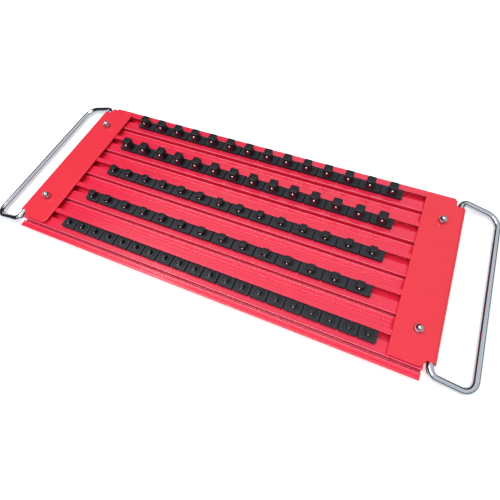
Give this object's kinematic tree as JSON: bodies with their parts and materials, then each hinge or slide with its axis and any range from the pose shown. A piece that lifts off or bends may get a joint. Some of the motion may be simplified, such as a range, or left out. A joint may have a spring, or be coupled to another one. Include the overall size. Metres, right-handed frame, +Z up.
{
  "type": "socket tray",
  "caption": "Low tray of parallel extruded rails with rows of sliding twist-lock clips that hold wrench sockets upright, with wire bail handles on folded end plates.",
  "frame": {"origin": "centre of the tray's footprint, on the table that it stands on", "axes": "+X along the rails towards the right-hand handle, +Y towards the rear row with the half inch posts, +Z up"},
  "size_m": [0.713, 0.2696, 0.0406],
  "materials": {
    "rail_red": "red anodised extrusion, satin",
    "plate_red": "smooth red paint, semi-gloss",
    "handle_chrome": "bright chrome plating on wire rod",
    "nut_chrome": "bright plated",
    "bar_zinc": "zinc plated",
    "screw_zinc": "zinc plated",
    "clip_plastic": "moulded black plastic, fine grain",
    "post_plastic": "moulded black plastic, satin"
  },
  "bodies": {
    "frame": {"rail_1": "rail_red", "rail_2": "rail_red", "rail_3": "rail_red", "rail_4": "rail_red", "rail_5": "rail_red", "end_plate_right": "plate_red", "end_plate_left": "plate_red", "clamp_bar_right": "bar_zinc", "clamp_bar_left": "bar_zinc", "screw_right_rear": "screw_zinc", "screw_left_rear": "screw_zinc", "screw_left_front": "screw_zinc", "screw_right_front": "screw_zinc", "dome_nut_right_rear": "nut_chrome", "dome_nut_left_rear": "nut_chrome", "dome_nut_left_front": "nut_chrome", "dome_nut_right_front": "nut_chrome"},
    "handle_right": {"handle_right": "handle_chrome"},
    "handle_left": {"handle_left": "handle_chrome"},
    "row_1_left": {"row_1_clips_left": "clip_plastic"},
    "row_1_right": {"row_1_clips_right": "clip_plastic"},
    "row_1_post_01": {"row_1_post_01": "post_plastic"},
    "row_1_post_02": {"row_1_post_02": "post_plastic"},
    "row_1_post_03": {"row_1_post_03": "post_plastic"},
    "row_1_post_04": {"row_1_post_04": "post_plastic"},
    "row_1_post_05": {"row_1_post_05": "post_plastic"},
    "row_1_post_06": {"row_1_post_06": "post_plastic"},
    "row_1_post_07": {"row_1_post_07": "post_plastic"},
    "row_1_post_08": {"row_1_post_08": "post_plastic"},
    "row_1_post_09": {"row_1_post_09": "post_plastic"},
    "row_1_post_10": {"row_1_post_10": "post_plastic"},
    "row_1_post_11": {"row_1_post_11": "post_plastic"},
    "row_1_post_12": {"row_1_post_12": "post_plastic"},
    "row_1_post_13": {"row_1_post_13": "post_plastic"},
    "row_1_post_14": {"row_1_post_14": "post_plastic"},
    "row_2_left": {"row_2_clips_left": "clip_plastic"},
    "row_2_right": {"row_2_clips_right": "clip_plastic"},
    "row_2_post_01": {"row_2_post_01": "post_plastic"},
    "row_2_post_02": {"row_2_post_02": "post_plastic"},
    "row_2_post_03": {"row_2_post_03": "post_plastic"},
    "row_2_post_04": {"row_2_post_04": "post_plastic"},
    "row_2_post_05": {"row_2_post_05": "post_plastic"},
    "row_2_post_06": {"row_2_post_06": "post_plastic"},
    "row_2_post_07": {"row_2_post_07": "post_plastic"},
    "row_2_post_08": {"row_2_post_08": "post_plastic"},
    "row_2_post_09": {"row_2_post_09": "post_plastic"},
    "row_2_post_10": {"row_2_post_10": "post_plastic"},
    "row_2_post_11": {"row_2_post_11": "post_plastic"},
    "row_2_post_12": {"row_2_post_12": "post_plastic"},
    "row_2_post_13": {"row_2_post_13": "post_plastic"},
    "row_2_post_14": {"row_2_post_14": "post_plastic"},
    "row_3_left": {"row_3_clips_left": "clip_plastic"},
    "row_3_right": {"row_3_clips_right": "clip_plastic"},
    "row_4_left": {"row_4_clips_left": "clip_plastic"},
    "row_4_right": {"row_4_clips_right": "clip_plastic"},
    "row_5_left": {"row_5_clips_left": "clip_plastic"},
    "row_5_right": {"row_5_clips_right": "clip_plastic"}
  },
  "joints": [
    {"name": "handle_right_hinge", "type": "hinge", "parent": "frame", "child": "handle_right", "pos_m": [0.29775, 0, 0.0195], "axis": [0, -1, 0], "range_deg": [-80, 142]},
    {"name": "handle_left_hinge", "type": "hinge", "parent": "frame", "child": "handle_left", "pos_m": [-0.29775, 0, 0.0195], "axis": [0, 1, 0], "range_deg": [-80, 127]},
    {"name": "row_1_left_slide", "type": "slide", "parent": "frame", "child": "row_1_left", "axis": [-1, 0, 0], "range_m": [0, 0.02371]},
    {"name": "row_1_right_slide", "type": "slide", "parent": "frame", "child": "row_1_right", "axis": [1, 0, 0], "range_m": [0, 0.02999]},
    {"name": "row_1_post_01_turn", "type": "hinge", "parent": "row_1_left", "child": "row_1_post_01", "pos_m": [-0.20951, 0.1066, 0.0257], "axis": [0, 0, 1], "range_deg": [0, 90]},
    {"name": "row_1_post_02_turn", "type": "hinge", "parent": "row_1_left", "child": "row_1_post_02", "pos_m": [-0.17776, 0.1066, 0.0257], "axis": [0, 0, 1], "range_deg": [0, 90]},
    {"name": "row_1_post_03_turn", "type": "hinge", "parent": "row_1_left", "child": "row_1_post_03", "pos_m": [-0.14601, 0.1066, 0.0257], "axis": [0, 0, 1], "range_deg": [0, 90]},
    {"name": "row_1_post_04_turn", "type": "hinge", "parent": "row_1_left", "child": "row_1_post_04", "pos_m": [-0.11426, 0.1066, 0.0257], "axis": [0, 0, 1], "range_deg": [0, 90]},
    {"name": "row_1_post_05_turn", "type": "hinge", "parent": "row_1_left", "child": "row_1_post_05", "pos_m": [-0.08251, 0.1066, 0.0257], "axis": [0, 0, 1], "range_deg": [0, 90]},
    {"name": "row_1_post_06_turn", "type": "hinge", "parent": "row_1_left", "child": "row_1_post_06", "pos_m": [-0.05076, 0.1066, 0.0257], "axis": [0, 0, 1], "range_deg": [0, 90]},
    {"name": "row_1_post_07_turn", "type": "hinge", "parent": "row_1_left", "child": "row_1_post_07", "pos_m": [-0.01901, 0.1066, 0.0257], "axis": [0, 0, 1], "range_deg": [0, 90]},
    {"name": "row_1_post_08_turn", "type": "hinge", "parent": "row_1_right", "child": "row_1_post_08", "pos_m": [0.01274, 0.1066, 0.0257], "axis": [0, 0, 1], "range_deg": [0, 90]},
    {"name": "row_1_post_09_turn", "type": "hinge", "parent": "row_1_right", "child": "row_1_post_09", "pos_m": [0.04449, 0.1066, 0.0257], "axis": [0, 0, 1], "range_deg": [0, 90]},
    {"name": "row_1_post_10_turn", "type": "hinge", "parent": "row_1_right", "child": "row_1_post_10", "pos_m": [0.07624, 0.1066, 0.0257], "axis": [0, 0, 1], "range_deg": [0, 90]},
    {"name": "row_1_post_11_turn", "type": "hinge", "parent": "row_1_right", "child": "row_1_post_11", "pos_m": [0.10799, 0.1066, 0.0257], "axis": [0, 0, 1], "range_deg": [0, 90]},
    {"name": "row_1_post_12_turn", "type": "hinge", "parent": "row_1_right", "child": "row_1_post_12", "pos_m": [0.13974, 0.1066, 0.0257], "axis": [0, 0, 1], "range_deg": [0, 90]},
    {"name": "row_1_post_13_turn", "type": "hinge", "parent": "row_1_right", "child": "row_1_post_13", "pos_m": [0.17149, 0.1066, 0.0257], "axis": [0, 0, 1], "range_deg": [0, 90]},
    {"name": "row_1_post_14_turn", "type": "hinge", "parent": "row_1_right", "child": "row_1_post_14", "pos_m": [0.20324, 0.1066, 0.0257], "axis": [0, 0, 1], "range_deg": [0, 90]},
    {"name": "row_2_left_slide", "type": "slide", "parent": "frame", "child": "row_2_left", "axis": [-1, 0, 0], "range_m": [0, 0.02201]},
    {"name": "row_2_right_slide", "type": "slide", "parent": "frame", "child": "row_2_right", "axis": [1, 0, 0], "range_m": [0, 0.03168]},
    {"name": "row_2_post_01_turn", "type": "hinge", "parent": "row_2_left", "child": "row_2_post_01", "pos_m": [-0.21121, 0.0526, 0.0257], "axis": [0, 0, 1], "range_deg": [0, 90]},
    {"name": "row_2_post_02_turn", "type": "hinge", "parent": "row_2_left", "child": "row_2_post_02", "pos_m": [-0.17946, 0.0526, 0.0257], "axis": [0, 0, 1], "range_deg": [0, 90]},
    {"name": "row_2_post_03_turn", "type": "hinge", "parent": "row_2_left", "child": "row_2_post_03", "pos_m": [-0.14771, 0.0526, 0.0257], "axis": [0, 0, 1], "range_deg": [0, 90]},
    {"name": "row_2_post_04_turn", "type": "hinge", "parent": "row_2_left", "child": "row_2_post_04", "pos_m": [-0.11596, 0.0526, 0.0257], "axis": [0, 0, 1], "range_deg": [0, 90]},
    {"name": "row_2_post_05_turn", "type": "hinge", "parent": "row_2_left", "child": "row_2_post_05", "pos_m": [-0.08421, 0.0526, 0.0257], "axis": [0, 0, 1], "range_deg": [0, 90]},
    {"name": "row_2_post_06_turn", "type": "hinge", "parent": "row_2_left", "child": "row_2_post_06", "pos_m": [-0.05246, 0.0526, 0.0257], "axis": [0, 0, 1], "range_deg": [0, 90]},
    {"name": "row_2_post_07_turn", "type": "hinge", "parent": "row_2_left", "child": "row_2_post_07", "pos_m": [-0.02071, 0.0526, 0.0257], "axis": [0, 0, 1], "range_deg": [0, 90]},
    {"name": "row_2_post_08_turn", "type": "hinge", "parent": "row_2_right", "child": "row_2_post_08", "pos_m": [0.01104, 0.0526, 0.0257], "axis": [0, 0, 1], "range_deg": [0, 90]},
    {"name": "row_2_post_09_turn", "type": "hinge", "parent": "row_2_right", "child": "row_2_post_09", "pos_m": [0.04279, 0.0526, 0.0257], "axis": [0, 0, 1], "range_deg": [0, 90]},
    {"name": "row_2_post_10_turn", "type": "hinge", "parent": "row_2_right", "child": "row_2_post_10", "pos_m": [0.07454, 0.0526, 0.0257], "axis": [0, 0, 1], "range_deg": [0, 90]},
    {"name": "row_2_post_11_turn", "type": "hinge", "parent": "row_2_right", "child": "row_2_post_11", "pos_m": [0.10629, 0.0526, 0.0257], "axis": [0, 0, 1], "range_deg": [0, 90]},
    {"name": "row_2_post_12_turn", "type": "hinge", "parent": "row_2_right", "child": "row_2_post_12", "pos_m": [0.13804, 0.0526, 0.0257], "axis": [0, 0, 1], "range_deg": [0, 90]},
    {"name": "row_2_post_13_turn", "type": "hinge", "parent": "row_2_right", "child": "row_2_post_13", "pos_m": [0.16979, 0.0526, 0.0257], "axis": [0, 0, 1], "range_deg": [0, 90]},
    {"name": "row_2_post_14_turn", "type": "hinge", "parent": "row_2_right", "child": "row_2_post_14", "pos_m": [0.20154, 0.0526, 0.0257], "axis": [0, 0, 1], "range_deg": [0, 90]},
    {"name": "row_3_left_slide", "type": "slide", "parent": "frame", "child": "row_3_left", "axis": [-1, 0, 0], "range_m": [0, 0.03157]},
    {"name": "row_3_right_slide", "type": "slide", "parent": "frame", "child": "row_3_right", "axis": [1, 0, 0], "range_m": [0, 0.03088]},
    {"name": "row_4_left_slide", "type": "slide", "parent": "frame", "child": "row_4_left", "axis": [-1, 0, 0], "range_m": [0, 0.02936]},
    {"name": "row_4_right_slide", "type": "slide", "parent": "frame", "child": "row_4_right", "axis": [1, 0, 0], "range_m": [0, 0.03309]},
    {"name": "row_5_left_slide", "type": "slide", "parent": "frame", "child": "row_5_left", "axis": [-1, 0, 0], "range_m": [0, 0.02534]},
    {"name": "row_5_right_slide", "type": "slide", "parent": "frame", "child": "row_5_right", "axis": [1, 0, 0], "range_m": [0, 0.01286]}
  ]
}
